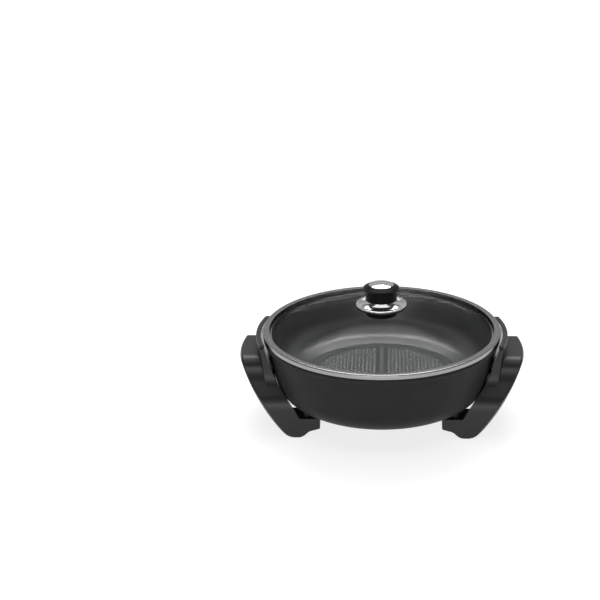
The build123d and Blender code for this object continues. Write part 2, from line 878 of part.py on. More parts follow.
def left(solid):
    """Mirror image on the left side."""
    return mirror(solid, about=Plane.YZ)


def save(name, solids):
    """Write one node as a STEP file."""
    group = solids if isinstance(solids, list) else [solids]
    flat = [one for solid in group for one in solid.solids()]
    export_step(flat[0] if len(flat) == 1 else Compound(flat), os.path.join("parts", name + ".step"))


os.makedirs("parts", exist_ok=True)
right_leg = handle_leg()
right_guard = rim_guard()
nodes = {
    "inner_pan": inner_pan(),
    "outer_shell": outer_shell(),
    "bottom_cover": bottom_cover(),
    "cover_screws": cover_screws(),
    "heating_element": heating_element(),
    "element_clips": element_clips(),
    "clip_screws": clip_screws(),
    "thermal_cutout": thermal_cutout(),
    "cutout_screws": cutout_screws(),
    "probe_sleeve": probe_sleeve(),
    "terminal_pins": terminal_pins(),
    "socket_housing": socket_housing(),
    "socket_screws": socket_screws(),
    "right_handle_leg": right_leg,
    "left_handle_leg": left(right_leg),
    "right_rim_guard": right_guard,
    "left_rim_guard": left(right_guard),
    "leg_bosses": leg_bosses(),
    "leg_screws": leg_screws(),
    "foot_pads": foot_pads(),
    "lid_band": lid_band(),
    "lid_glass": lid_glass(),
    "knob_gasket": knob_gasket(),
    "knob_skirt": knob_skirt(),
    "knob_grip": knob_grip(),
    "knob_cap": knob_cap(),
    "knob_insert": knob_insert(),
    "knob_washer": knob_washer(),
    "knob_screw": knob_screw(),
}
for node_name, node_solids in nodes.items():
    save(node_name, node_solids)
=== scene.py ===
"""Dressed scene of the round electric skillet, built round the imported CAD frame.

Meshes are drawn in millimetres and turned to metres as they are made. The camera, the lamps
and the values of the materials are in metres. +Z is up and the front faces -Y. Turned pieces
are lathed finer than the CAD mesh from the same radii and heights, and each rides on the body
that its CAD node belongs to.
"""

import json
import math

import bmesh
import bpy
from mathutils import Euler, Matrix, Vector


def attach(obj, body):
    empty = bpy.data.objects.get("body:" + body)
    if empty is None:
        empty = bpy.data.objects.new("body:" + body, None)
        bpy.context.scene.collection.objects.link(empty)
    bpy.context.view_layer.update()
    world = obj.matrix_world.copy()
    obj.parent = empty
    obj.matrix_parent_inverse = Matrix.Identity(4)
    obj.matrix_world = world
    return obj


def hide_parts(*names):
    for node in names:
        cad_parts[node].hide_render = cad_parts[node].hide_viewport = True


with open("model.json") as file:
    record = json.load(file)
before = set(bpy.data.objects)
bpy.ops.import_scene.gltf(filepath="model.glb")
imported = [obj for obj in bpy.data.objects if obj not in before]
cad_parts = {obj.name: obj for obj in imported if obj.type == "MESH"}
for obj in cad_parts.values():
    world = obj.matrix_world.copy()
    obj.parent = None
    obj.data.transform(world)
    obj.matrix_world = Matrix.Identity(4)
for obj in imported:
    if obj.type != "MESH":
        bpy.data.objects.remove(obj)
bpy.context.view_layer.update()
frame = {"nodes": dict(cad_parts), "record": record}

# Units and fineness of meshes
MM = 0.001
TURNS = 256
MERGE_DISTANCE = 1e-7
CREASE = math.radians(35)
CAD_CREASE = math.radians(30)

# Clearances between pieces
LID_GAP = 0.3
SCREW_GAP = 0.1
CONTACT_GAP = 0.1
CAP_GAP = 0.2
WINDOW_GAP = 0.2
GLASS_GAP = 0.4

# Bowl
BASE_Z = 32.4
HEATER_SPACE = 23.5
FLOOR_THICKNESS = 4.5
BOWL_DEPTH = 63.5
BOWL_WALL = 3.0
MOUTH_RADIUS = 152.5
MOUTH_ROUND = 1.0
DRAFT_SLOPE = math.tan(math.radians(10.7))
INNER_CORNER_RADIUS = 37.0
OUTER_CORNER_RADIUS = 39.0
BEAD_REACH = 9.0
BEAD_HEIGHT = 7.5
BEAD_ROUND = 3.6
RIB_RADIUS = 82.0
RIB_HALF_WIDTH = 14.5
RIB_HEIGHT = 4.4
BOWL_STEPS = 14

# Edge of the cooking floor, which slopes up to the corner
EDGE_RADIUS = 109.5
EDGE_SLOPE = math.tan(math.radians(17))
EDGE_ROUND = 3.0

# The bowl is painted from this far outside its mouth
PAINT_MARGIN = 1.0

# Shell and the window for the inlet
SHELL_CLEARANCE = 1.4
SHELL_WALL = 1.5
SHELL_CORNER_RADIUS = 40.0
SHELL_MOUTH_RADIUS = 88.0
SHELL_STEPS = 18
ELEMENT_TUBE_RADIUS = 4.0
SOCKET_HALF_WIDTH = 23.0
WINDOW_NEAR_X = 120.0
WINDOW_FAR_X = 152.0

# Relief on the cooking floor: stretched hexagons, a plain strip and two rings
CELL_PITCH = 10.4
CELL_ROW_STEP = 4.4
CELL_GAP = 1.3
CELL_BEVEL = 0.6
CELL_SIDES = 6
RELIEF_HEIGHT = 0.8
RELIEF_SINK = 0.1
RELIEF_RADIUS = 97.0
STRIP_HALF_SPACE = 3.2
RING_RADII = (98.6, 101.6)
RING_WIDTH = 1.2
RING_ROUND = 0.3
RING_STEPS = 3

# Band of the lid
LID_OVERHANG = 0.5
BAND_HEIGHT = 6.5
BAND_WALL = 0.8
BAND_CROWN = 2.0
BAND_FOOT_ROUND = 0.6
BAND_LIP_ROUND = 0.3
BAND_FLANGE_WIDTH = 8.5
BAND_FOOT_WIDTH = 11.5
BAND_SKIRT_DEPTH = 4.5
BAND_STEPS = 6

# Glass of the lid
GLASS_WALL = 4.0
GLASS_FLAT_WIDTH = 10.0
GLASS_EDGE_ROUND = 1.2
GLASS_EDGE_STEPS = 5
GLASS_HOLE_RADIUS = 4.0
DOME_RISE = 32.7
DOME_STEPS = 40

# Screw and bush of the knob, for the holes round them
KNOB_SCREW_RADIUS = 2.4
KNOB_SCREW_HEAD_RADIUS = 5.0
INSERT_WALL = 1.5
INSERT_LENGTH = 13.0

# Skirt of the knob and the gasket below it
SKIRT_RADIUS = 34.0
SKIRT_EDGE_HEIGHT = 4.0
SKIRT_HEIGHT = 10.0
SKIRT_TOP_RADIUS = 22.0
SKIRT_UNDER_RADIUS = 21.0
SKIRT_WALL = 1.2
SKIRT_SWEEP = math.radians(46)
SKIRT_SWEEP_STEPS = 14
BRIM_ROUND = 1.4
BRIM_FOOT_ROUND = 0.3
BRIM_STEPS = 8
GASKET_WIDTH = 6.4
GASKET_THICKNESS = 1.0
GASKET_ROUND = 0.2
GASKET_STEPS = 3

# Grip of the knob
NECK_RADIUS = 21.2
NECK_HEIGHT = 13.5
NECK_FOOT_ROUND = 2.5
FLANGE_OVERHANG = 3.2
FLANGE_UNDER_BEVEL = 2.4
FLANGE_EDGE = 1.0
FLANGE_TOP_BEVEL = 4.0
GRIP_ROUND = 0.5
GRIP_LIP = 0.5
GRIP_LIP_ROUND = 0.2
GRIP_STEPS = 6

# Cap in the grip
CAP_INSET = 4.2
CAP_RECESS = 2.0
CAP_EDGE_HEIGHT = 2.2
CAP_RISE = 3.4
CAP_STEPS = 16

# Washer under the glass
WASHER_RADIUS = 21.8
WASHER_HEIGHT = 7.0
WASHER_ROUND = 1.2
WASHER_RECESS = 3.6
WASHER_STEPS = 5

# Camera, fitted to the ellipses of the lid band and of the pan's base
PHOTO_PX = 600
FOCAL_PX = 1476.0
SENSOR_WIDTH_MM = 36.0
AZIMUTH = math.radians(0.5)
ELEVATION = math.radians(22.28)
DISTANCE = 2.025
TARGET = Vector((0, 0, 0.1304))
TARGET_PX = (381.3, 327.4)
CLIP_START = 0.05
CLIP_END = 50

# Stage floor, in mm, and its glow by distance from the pan, in metres
STAGE_REACH = 12000
GLOW_START = 0.8
GLOW_END = 3.0
NEAR_GLOW = 0.8
FAR_GLOW = 1.0

# Surroundings: an even light, and their brightness to the eye by the sine of the elevation
EVEN_LIGHT = 0.12
SKY_STOPS = (
    (0.0, 1.0),
    (0.01, 1.0),
    (0.04, 0.34),
    (0.3, 0.34),
    (0.4, 0.5),
    (0.5, 0.5),
    (0.64, 0.06),
)
LAMP_AIM = Vector((0, 0, 0.1))

# Materials: mottling and grain by noise, in features per metre, and depth of bumps in metres
MOTTLE_SCALE = 35
BRUSH_SCALE = 2500
BRUSH_STRETCH = 0.02
WIPE_SCALE = 180
SMEAR_SCALE = 20
BUMP_DEPTH = 0.0001
NOISE_LOW = 0.3
NOISE_HIGH = 0.7
FACING_START = -0.5
FACING_FULL = -0.85

# Kinds of maths nodes
MATH = "ShaderNodeMath"
VECTOR_MATH = "ShaderNodeVectorMath"

# Heights and radii that follow
FLOOR_UNDER_Z = BASE_Z + HEATER_SPACE
FLOOR_Z = FLOOR_UNDER_Z + FLOOR_THICKNESS
RIM_Z = FLOOR_Z + BOWL_DEPTH
BEAD_Z = RIM_Z - BEAD_HEIGHT
RIB_Z = FLOOR_UNDER_Z - RIB_HEIGHT
ELEMENT_Z = RIB_Z - CONTACT_GAP - ELEMENT_TUBE_RADIUS
BAND_Z = RIM_Z + LID_GAP
BAND_TOP_Z = BAND_Z + BAND_HEIGHT
GLASS_EDGE_Z = BAND_TOP_Z - BAND_WALL - CONTACT_GAP
RIM_RADIUS = MOUTH_RADIUS + BEAD_REACH
LID_RADIUS = RIM_RADIUS + LID_OVERHANG
DOME_RADIUS = LID_RADIUS - GLASS_FLAT_WIDTH
GASKET_RADIUS = SKIRT_RADIUS - SKIRT_WALL / 2
GASKET_INNER_RADIUS = GASKET_RADIUS - GASKET_WIDTH
CAP_RADIUS = NECK_RADIUS - CAP_INSET
KNOB_HOLE_RADIUS = KNOB_SCREW_RADIUS + SCREW_GAP


def bowl_radius(z):
    """Inner radius of the bowl's wall at a height."""
    return MOUTH_RADIUS - (RIM_Z - z) * DRAFT_SLOPE


def shell_radius(z):
    """Outer radius of the shell's wall at a height."""
    return bowl_radius(z) + BOWL_WALL + SHELL_CLEARANCE + SHELL_WALL


def dome_height(r, radius, rise):
    """Height at r of a round dome that rises from its edge at radius."""
    sphere = (radius**2 + rise**2) / (2 * rise)
    return rise - sphere + math.sqrt(sphere**2 - r**2)


def glass_z(r):
    """Height of the glass's upper face at a radius."""
    return GLASS_EDGE_Z + dome_height(r, DOME_RADIUS, DOME_RISE)


# Heights of the knob, which stands on the glass, to a hundredth
SKIRT_Z = round(glass_z(GASKET_INNER_RADIUS) + GASKET_THICKNESS, 2)
SKIRT_TOP_Z = SKIRT_Z + SKIRT_HEIGHT
FLANGE_Z = SKIRT_TOP_Z + NECK_HEIGHT
FLANGE_EDGE_Z = FLANGE_Z + FLANGE_UNDER_BEVEL
GRIP_TOP_Z = FLANGE_EDGE_Z + FLANGE_EDGE + FLANGE_TOP_BEVEL
CAP_Z = GRIP_TOP_Z - CAP_RECESS


# Geometry helpers


def rounded(corners, steps):
    """Points of a closed outline through (radius, height, round) corners."""
    points = []
    count = len(corners)
    for i, (x, y, r) in enumerate(corners):
        here = Vector((x, y))
        if r <= 0:
            points.append(here)
            continue
        before = (Vector(corners[i - 1][:2]) - here).normalized()
        after = (Vector(corners[(i + 1) % count][:2]) - here).normalized()
        half = before.angle(after) / 2
        reach = r / math.tan(half)
        centre = here + (before + after).normalized() * (r / math.sin(half))
        start = here + before * reach - centre
        turn = start.angle_signed(here + after * reach - centre)
        for k in range(steps + 1):
            a = -turn * k / steps
            c, s = math.cos(a), math.sin(a)
            points.append(centre + Vector((start.x * c - start.y * s, start.x * s + start.y * c)))
    return points


def turned(outline):
    """Points and faces of a closed outline of (radius, height) turned about Z."""
    verts, faces = [], []
    count = len(outline)
    for t in range(TURNS):
        a = math.tau * t / TURNS
        verts += [(r * math.cos(a), r * math.sin(a), z) for r, z in outline]
    for t in range(TURNS):
        here, there = t * count, (t + 1) % TURNS * count
        for i in range(count):
            j = (i + 1) % count
            if outline[i][0] <= 0 and outline[j][0] <= 0:
                continue
            faces.append([here + i, there + i, there + j, here + j])
    return verts, faces


def box(low, high):
    """Points and faces of an upright box between two corners."""
    verts = [(x, y, z) for x in (low[0], high[0]) for y in (low[1], high[1]) for z in (low[2], high[2])]
    faces = [(0, 1, 3, 2), (4, 6, 7, 5), (0, 4, 5, 1), (2, 3, 7, 6), (0, 2, 6, 4), (1, 5, 7, 3)]
    return verts, faces


def joined(shapes):
    """Points and faces of several shapes in one."""
    verts, faces = [], []
    for more_verts, more_faces in shapes:
        base = len(verts)
        verts += more_verts
        faces += [[base + v for v in face] for face in more_faces]
    return verts, faces


def smooth(mesh, crease):
    """Smooth shading that breaks at edges sharper than the crease."""
    mesh.shade_smooth()
    mesh.set_sharp_from_angle(angle=crease)


def mesh_object(name, verts, faces):
    """A mesh object from points in mm, smooth but for its sharp edges."""
    mesh = bpy.data.meshes.new(name)
    mesh.from_pydata([(x * MM, y * MM, z * MM) for x, y, z in verts], [], faces)
    mesh.validate()
    bm = bmesh.new()
    bm.from_mesh(mesh)
    bmesh.ops.remove_doubles(bm, verts=bm.verts, dist=MERGE_DISTANCE)
    bmesh.ops.recalc_face_normals(bm, faces=bm.faces)
    bm.to_mesh(mesh)
    bm.free()
    smooth(mesh, CREASE)
    obj = bpy.data.objects.new(name, mesh)
    bpy.context.scene.collection.objects.link(obj)
    return obj


def lathe(name, outline):
    """An object from a closed outline of (radius, height) turned about Z."""
    return mesh_object(name, *turned(outline))


def cut(obj, tool):
    """Cuts a tool out of an object and removes the tool."""
    modifier = obj.modifiers.new("cut", "BOOLEAN")
    modifier.operation = "DIFFERENCE"
    modifier.solver = "EXACT"
    modifier.object = tool
    graph = bpy.context.evaluated_depsgraph_get()
    mesh = bpy.data.meshes.new_from_object(obj.evaluated_get(graph))
    obj.modifiers.clear()
    obj.data = mesh
    bpy.data.objects.remove(tool)
    smooth(mesh, CREASE)


def stand_for(obj, node, body, material):
    """A piece that takes a CAD node's place."""
    obj.data.materials.append(material)
    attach(obj, body)
    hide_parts(node)
    return obj


# Node helpers


def feed(tree, socket, value):
    """Links a socket to another one, or sets it to a constant."""
    if isinstance(value, bpy.types.NodeSocket):
        tree.links.new(value, socket)
    else:
        socket.default_value = value


def calculated(tree, kind, operation, *values):
    """Outputs of a maths node that is fed with sockets or constants."""
    node = tree.nodes.new(kind)
    node.operation = operation
    for socket, value in zip(node.inputs, values):
        feed(tree, socket, value)
    return node.outputs


def blended(tree, factor, first, second):
    """Mix of two values, each a socket or a constant."""
    node = tree.nodes.new("ShaderNodeMix")
    for name, value in (("Factor", factor), ("A", first), ("B", second)):
        feed(tree, node.inputs[name], value)
    return node.outputs["Result"]


def noise(tree, scale, detail, vector=None):
    """Noise over a vector, or else over object coordinates."""
    node = tree.nodes.new("ShaderNodeTexNoise")
    node.inputs["Scale"].default_value = scale
    node.inputs["Detail"].default_value = detail
    if vector is None:
        vector = tree.nodes.new("ShaderNodeTexCoord").outputs["Object"]
    tree.links.new(vector, node.inputs["Vector"])
    return node.outputs["Fac"]


def ramp(tree, value, stops):
    """Colour ramp from (position, grey or colour) stops."""
    node = tree.nodes.new("ShaderNodeValToRGB")
    band = node.color_ramp
    while len(band.elements) < len(stops):
        band.elements.new(position=0.5)
    for element, (place, colour) in zip(band.elements, stops):
        element.position = place
        if not isinstance(colour, tuple):
            colour = (colour, colour, colour)
        element.color = (*colour, 1)
    tree.links.new(value, node.inputs["Fac"])
    return node.outputs["Color"]


def spread(tree, value, low, high, start=0, end=1):
    """Maps start to end onto low to high."""
    node = tree.nodes.new("ShaderNodeMapRange")
    limits = {"From Min": start, "From Max": end, "To Min": low, "To Max": high}
    for name, limit in limits.items():
        node.inputs[name].default_value = limit
    tree.links.new(value, node.inputs["Value"])
    return node.outputs["Result"]


def bump(tree, shader, height, strength, depth):
    """Bump from a height value."""
    node = tree.nodes.new("ShaderNodeBump")
    node.inputs["Strength"].default_value = strength
    node.inputs["Distance"].default_value = depth
    tree.links.new(height, node.inputs["Height"])
    tree.links.new(node.outputs["Normal"], shader.inputs["Normal"])


def inward(tree):
    """1 on walls that face the Z axis, 0 on all others."""
    coord = tree.nodes.new("ShaderNodeTexCoord")
    flat = calculated(tree, VECTOR_MATH, "MULTIPLY", coord.outputs["Object"], (1, 1, 0))
    away = calculated(tree, VECTOR_MATH, "NORMALIZE", flat["Vector"])
    facing = calculated(tree, VECTOR_MATH, "DOT_PRODUCT", coord.outputs["Normal"], away["Vector"])
    return spread(tree, facing["Value"], 0, 1, FACING_START, FACING_FULL)


def seen_directly(tree):
    """1 for camera, glossy and transmission rays."""
    path = tree.nodes.new("ShaderNodeLightPath")
    last = path.outputs["Is Camera Ray"]
    for name in ("Is Glossy Ray", "Is Transmission Ray"):
        last = calculated(tree, MATH, "MAXIMUM", last, path.outputs[name])["Value"]
    return last


# Materials


def new_material(name):
    """A material, its node tree and its Principled node."""
    mat = bpy.data.materials.new(name)
    mat.use_nodes = True
    tree = mat.node_tree
    shader = tree.nodes["Principled BSDF"]
    return mat, tree, shader


def grained(name, dark, light, rough, scale, grain, depth=BUMP_DEPTH, specular=0.5, metallic=0.0):
    """Satin surface with a fine grain: colour, roughness and bump from noise."""
    mat, tree, shader = new_material(name)
    fine = noise(tree, scale, detail=2)
    broad = noise(tree, MOTTLE_SCALE, detail=3)
    tint = ramp(tree, broad, [(NOISE_LOW, dark), (NOISE_HIGH, light)])
    tree.links.new(tint, shader.inputs["Base Color"])
    tree.links.new(spread(tree, fine, *rough), shader.inputs["Roughness"])
    bump(tree, shader, fine, grain, depth)
    shader.inputs["Specular IOR Level"].default_value = specular
    shader.inputs["Metallic"].default_value = metallic
    return mat


def gloss_inside(mat, rough):
    """Gives a material's inward walls a gloss."""
    tree = mat.node_tree
    socket = tree.nodes["Principled BSDF"].inputs["Roughness"]
    outside = socket.links[0].from_socket
    tree.links.new(blended(tree, inward(tree), outside, rough), socket)


def polished(name, tint, rough):
    """Polished metal with faint wipe marks in its roughness."""
    mat, tree, shader = new_material(name)
    shader.inputs["Base Color"].default_value = (*tint, 1)
    shader.inputs["Metallic"].default_value = 1.0
    marks = noise(tree, WIPE_SCALE, detail=4)
    tree.links.new(spread(tree, marks, *rough), shader.inputs["Roughness"])
    return mat


def turned_steel(name, dark, light, rough, grain):
    """Steel brushed round the Z axis: fine noise that is drawn out along the turn."""
    mat, tree, shader = new_material(name)
    coord = tree.nodes.new("ShaderNodeTexCoord")
    split = tree.nodes.new("ShaderNodeSeparateXYZ")
    tree.links.new(coord.outputs["Object"], split.inputs["Vector"])
    away = calculated(tree, VECTOR_MATH, "LENGTH", coord.outputs["Object"])
    turn = calculated(tree, MATH, "ARCTAN2", split.outputs["Y"], split.outputs["X"])
    slow = calculated(tree, MATH, "MULTIPLY", turn["Value"], BRUSH_STRETCH)
    place = tree.nodes.new("ShaderNodeCombineXYZ")
    tree.links.new(away["Value"], place.inputs["X"])
    tree.links.new(slow["Value"], place.inputs["Y"])
    tree.links.new(split.outputs["Z"], place.inputs["Z"])
    lines = noise(tree, BRUSH_SCALE, detail=2, vector=place.outputs["Vector"])
    tint = ramp(tree, lines, [(NOISE_LOW, dark), (NOISE_HIGH, light)])
    tree.links.new(tint, shader.inputs["Base Color"])
    tree.links.new(spread(tree, lines, *rough), shader.inputs["Roughness"])
    bump(tree, shader, lines, grain, BUMP_DEPTH)
    shader.inputs["Metallic"].default_value = 1.0
    return mat


def clear_glass(name, tint, shadow_tint, ior, alpha, rough):
    """Clear glass that lets the lamps through, with faint smears in its gloss."""
    mat, tree, shader = new_material(name)
    shader.inputs["Base Color"].default_value = (*tint, 1)
    shader.inputs["Transmission Weight"].default_value = 1.0
    shader.inputs["IOR"].default_value = ior
    shader.inputs["Alpha"].default_value = alpha
    smear = noise(tree, SMEAR_SCALE, detail=4)
    tree.links.new(spread(tree, smear, *rough), shader.inputs["Roughness"])
    clear = tree.nodes.new("ShaderNodeBsdfTransparent")
    clear.inputs["Color"].default_value = (*shadow_tint, 1)
    path = tree.nodes.new("ShaderNodeLightPath")
    mix = tree.nodes.new("ShaderNodeMixShader")
    tree.links.new(path.outputs["Is Shadow Ray"], mix.inputs["Fac"])
    tree.links.new(shader.outputs["BSDF"], mix.inputs[1])
    tree.links.new(clear.outputs["BSDF"], mix.inputs[2])
    tree.links.new(mix.outputs["Shader"], tree.nodes["Material Output"].inputs["Surface"])
    return mat


coating = grained(
    "nonstick_coating",
    dark=(0.07, 0.07, 0.0715),
    light=(0.082, 0.082, 0.0835),
    rough=(0.26, 0.34),
    scale=1800,
    grain=0.12,
    specular=0.9,
)
# Lighter copy of the nonstick coating for the floor relief: painted light, standing in for the overhead
# light that falls on the cooking floor
relief_coating_painted_light = grained(
    "relief_coating_painted_light",
    dark=(0.13, 0.13, 0.132),
    light=(0.15, 0.15, 0.152),
    rough=(0.3, 0.38),
    scale=1800,
    grain=0.12,
    specular=0.9,
)
paint = grained(
    "black_paint",
    dark=(0.043, 0.043, 0.0435),
    light=(0.049, 0.049, 0.0495),
    rough=(0.42, 0.52),
    scale=1500,
    grain=0.15,
    specular=0.08,
)
moulding = grained(
    "black_moulding",
    dark=(0.012, 0.012, 0.0124),
    light=(0.015, 0.015, 0.0154),
    rough=(0.34, 0.44),
    scale=1400,
    grain=0.2,
    specular=0.45,
)
gloss_inside(moulding, rough=0.12)
knob_black = grained(
    "knob_moulding",
    dark=(0.005, 0.005, 0.005),
    light=(0.007, 0.007, 0.007),
    rough=(0.34, 0.44),
    scale=1600,
    grain=0.08,
    depth=0.00008,
    specular=0.15,
)
rubber = grained(
    "rubber",
    dark=(0.012, 0.012, 0.012),
    light=(0.02, 0.02, 0.02),
    rough=(0.7, 0.85),
    scale=900,
    grain=0.3,
    depth=0.0002,
    specular=0.3,
)
steel = grained(
    "plain_steel",
    dark=(0.45, 0.45, 0.45),
    light=(0.6, 0.6, 0.6),
    rough=(0.25, 0.4),
    scale=1500,
    grain=0.1,
    metallic=1.0,
)
sheath = grained(
    "element_sheath",
    dark=(0.12, 0.12, 0.12),
    light=(0.2, 0.2, 0.2),
    rough=(0.45, 0.6),
    scale=1200,
    grain=0.2,
    metallic=1.0,
)
brass = grained(
    "brass",
    dark=(0.55, 0.4, 0.15),
    light=(0.7, 0.52, 0.22),
    rough=(0.3, 0.4),
    scale=1200,
    grain=0.1,
    metallic=1.0,
)
chrome = polished("chrome", tint=(0.78, 0.78, 0.78), rough=(0.1, 0.15))
band_steel = turned_steel(
    "band_steel",
    dark=(0.29, 0.29, 0.29),
    light=(0.34, 0.34, 0.34),
    rough=(0.22, 0.3),
    grain=0.1,
)
glass = clear_glass(
    "lid_glass",
    tint=(0.93, 0.95, 0.945),
    shadow_tint=(0.9, 0.92, 0.915),
    ior=1.03,
    alpha=0.06,
    rough=(0.05, 0.1),
)

SLOT_MATERIALS = {
    "nonstick": coating,
    "shell_paint": paint,
    "black_plastic": moulding,
    "knob_plastic": knob_black,
    "rubber": rubber,
    "steel": steel,
    "band_steel": band_steel,
    "element_sheath": sheath,
    "cutout_can": steel,
    "chrome": chrome,
    "brass": brass,
    "lid_glass": glass,
}


def dress_cad_nodes():
    """Gives each CAD node the material of its slot."""
    for row in frame["record"]["subparts"]:
        mesh = frame["nodes"][row["node"]].data
        mesh.materials.clear()
        mesh.materials.append(SLOT_MATERIALS[row["material_slot"]])
        smooth(mesh, CAD_CREASE)


dress_cad_nodes()


# Pieces of the pan


def make_bowl():
    """Coated bowl with its painted rim bead and the element rib below."""
    rib_inner = RIB_RADIUS - RIB_HALF_WIDTH
    rib_outer = RIB_RADIUS + RIB_HALF_WIDTH
    # The sloped edge of the floor and the straight wall meet here, before rounding
    both_slopes = EDGE_SLOPE * DRAFT_SLOPE
    corner = (bowl_radius(FLOOR_Z) - EDGE_RADIUS * both_slopes) / (1 - both_slopes)
    outline = [
        (0, FLOOR_UNDER_Z, 0),
        (rib_inner, FLOOR_UNDER_Z, 0),
        (rib_inner, RIB_Z, 0),
        (rib_outer, RIB_Z, 0),
        (rib_outer, FLOOR_UNDER_Z, 0),
        (bowl_radius(FLOOR_UNDER_Z) + BOWL_WALL, FLOOR_UNDER_Z, OUTER_CORNER_RADIUS),
        (bowl_radius(BEAD_Z) + BOWL_WALL, BEAD_Z, 0),
        (RIM_RADIUS, BEAD_Z, BEAD_ROUND),
        (RIM_RADIUS, RIM_Z, BEAD_ROUND),
        (MOUTH_RADIUS, RIM_Z, MOUTH_ROUND),
        (corner, FLOOR_Z + (corner - EDGE_RADIUS) * EDGE_SLOPE, INNER_CORNER_RADIUS),
        (EDGE_RADIUS, FLOOR_Z, EDGE_ROUND),
        (0, FLOOR_Z, 0),
    ]
    bowl = lathe("bowl", rounded(outline, BOWL_STEPS))
    stand_for(bowl, "inner_pan", "pan", coating)
    bowl.data.materials.append(paint)
    for face in bowl.data.polygons:
        face.material_index = int(face.center.xy.length > (MOUTH_RADIUS + PAINT_MARGIN) * MM)


def make_shell():
    """Painted shell with the window of the inlet cut out."""
    inner_z = BASE_Z + SHELL_WALL
    top = shell_radius(BEAD_Z)
    outline = [
        (SHELL_MOUTH_RADIUS, BASE_Z, 0),
        (shell_radius(BASE_Z), BASE_Z, SHELL_CORNER_RADIUS),
        (top, BEAD_Z, 0),
        (top - SHELL_WALL, BEAD_Z, 0),
        (shell_radius(inner_z) - SHELL_WALL, inner_z, SHELL_CORNER_RADIUS - SHELL_WALL),
        (SHELL_MOUTH_RADIUS, inner_z, 0),
    ]
    shell = lathe("shell", rounded(outline, SHELL_STEPS))
    half_width = SOCKET_HALF_WIDTH + WINDOW_GAP
    half_height = FLOOR_UNDER_Z - ELEMENT_Z
    low = (WINDOW_NEAR_X, -half_width, ELEMENT_Z - half_height)
    high = (WINDOW_FAR_X, half_width, ELEMENT_Z + half_height)
    cut(shell, mesh_object("window", *box(low, high)))
    stand_for(shell, "outer_shell", "pan", paint)


def relief_cells():
    """Raised hexagons in rows, clear of the strip and inside the rings."""
    # In a regular honeycomb the pitch is three sides and a row is half a hexagon's height
    side = CELL_PITCH / 3
    stretch = CELL_ROW_STEP / (side * math.sqrt(3) / 2)
    radius = side - CELL_GAP / 2
    rows = int(RELIEF_RADIUS / CELL_ROW_STEP) + 1
    for row in range(-rows, rows + 1):
        y = row * CELL_ROW_STEP
        for column in range(-rows, rows + 1):
            x = (column + (row % 2) / 2) * CELL_PITCH
            inside = math.hypot(x, y) <= RELIEF_RADIUS - radius * stretch
            if inside and abs(x) >= STRIP_HALF_SPACE + radius:
                yield relief_cell(x, y, radius, stretch)


def relief_cell(x, y, radius, stretch):
    """Points and faces of one stretched hexagon with a bevelled top."""
    levels = (
        (radius, -RELIEF_SINK),
        (radius, RELIEF_HEIGHT - CELL_BEVEL / 2),
        (radius - CELL_BEVEL, RELIEF_HEIGHT),
    )
    verts = []
    for r, z in levels:
        for k in range(CELL_SIDES):
            a = math.tau * k / CELL_SIDES
            verts.append((x + r * math.cos(a), y + r * stretch * math.sin(a), FLOOR_Z + z))
    ring = range(CELL_SIDES)
    top = len(verts) - CELL_SIDES
    faces = [[top + k for k in ring], list(reversed(ring))]
    for below in range(0, top, CELL_SIDES):
        above = below + CELL_SIDES
        for k in ring:
            n = (k + 1) % CELL_SIDES
            faces.append([below + k, below + n, above + n, above + k])
    return verts, faces


def relief_strip():
    """Plain raised strip through the middle of the floor."""
    half_width = STRIP_HALF_SPACE - CELL_GAP / 2
    half_length = math.sqrt(RELIEF_RADIUS**2 - STRIP_HALF_SPACE**2)
    low = (-half_width, -half_length, FLOOR_Z - RELIEF_SINK)
    high = (half_width, half_length, FLOOR_Z + RELIEF_HEIGHT)
    return box(low, high)


def relief_ring(inner):
    """Raised ring round the hexagons."""
    outer = inner + RING_WIDTH
    low = FLOOR_Z - RELIEF_SINK
    high = FLOOR_Z + RELIEF_HEIGHT
    outline = [(inner, low, 0), (outer, low, 0), (outer, high, RING_ROUND), (inner, high, RING_ROUND)]
    return turned(rounded(outline, RING_STEPS))


def make_floor_relief():
    """Raised honeycomb on the cooking floor, parted by a plain strip, inside two rings."""
    rings = [relief_ring(inner) for inner in RING_RADII]
    relief = mesh_object("floor_relief", *joined([*relief_cells(), relief_strip(), *rings]))
    # The relief takes the coating painted lighter, as painted light on the floor
    relief.data.materials.append(relief_coating_painted_light)
    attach(relief, "pan")


# Pieces of the lid


def make_band():
    """Pressed steel band round the glass."""
    inner = LID_RADIUS - BAND_WALL
    flange = LID_RADIUS - BAND_FLANGE_WIDTH
    foot = LID_RADIUS - BAND_FOOT_WIDTH
    outline = [
        (LID_RADIUS, BAND_Z, BAND_FOOT_ROUND),
        (LID_RADIUS, BAND_TOP_Z, BAND_CROWN),
        (flange, BAND_TOP_Z, BAND_LIP_ROUND),
        (flange, BAND_TOP_Z - BAND_WALL, 0),
        (inner, BAND_TOP_Z - BAND_WALL, BAND_CROWN - BAND_WALL),
        (inner, BAND_Z + BAND_WALL, 0),
        (foot, BAND_Z + BAND_WALL, 0),
        (foot, BAND_Z - BAND_SKIRT_DEPTH, 0),
        (foot + BAND_WALL, BAND_Z - BAND_SKIRT_DEPTH, 0),
        (foot + BAND_WALL, BAND_Z, 0),
    ]
    band = lathe("band", rounded(outline, BAND_STEPS))
    stand_for(band, "lid_band", "lid", band_steel)


